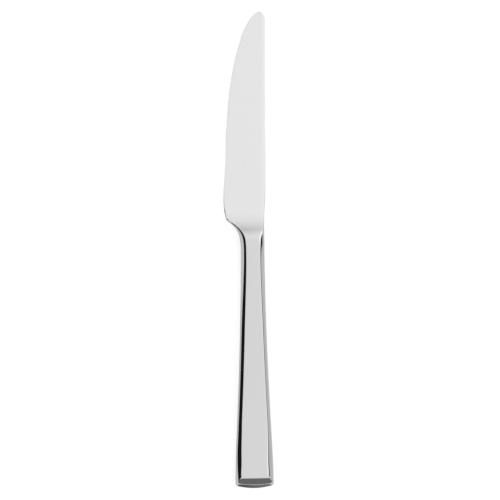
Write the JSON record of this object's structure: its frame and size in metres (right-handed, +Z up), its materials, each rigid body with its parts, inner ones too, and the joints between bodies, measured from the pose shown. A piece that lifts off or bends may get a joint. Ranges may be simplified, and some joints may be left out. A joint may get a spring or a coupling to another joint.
{
  "type": "table knife",
  "caption": "Polished steel table knife with a flared, bevelled hollow handle and a broad blade with a bellied heel and a finely serrated front edge.",
  "frame": {"origin": "middle of the flat lower face of the handle, on the surface that the knife lies on", "axes": "+Y along the knife from the handle to the tip, -X the cutting edge side and +X the spine side, +Z up out of the surface"},
  "size_m": [0.0236, 0.235, 0.008],
  "materials": {
    "blade_steel": "satin polish",
    "handle_steel": "mirror polish",
    "braze": "polished silver braze",
    "cement": "matt cement"
  },
  "bodies": {
    "root": {"blade": "blade_steel", "handle_upper_shell": "handle_steel", "handle_lower_shell": "handle_steel", "seam_braze": "braze", "mouth_braze": "braze", "handle_cement": "cement"}
  },
  "joints": []
}
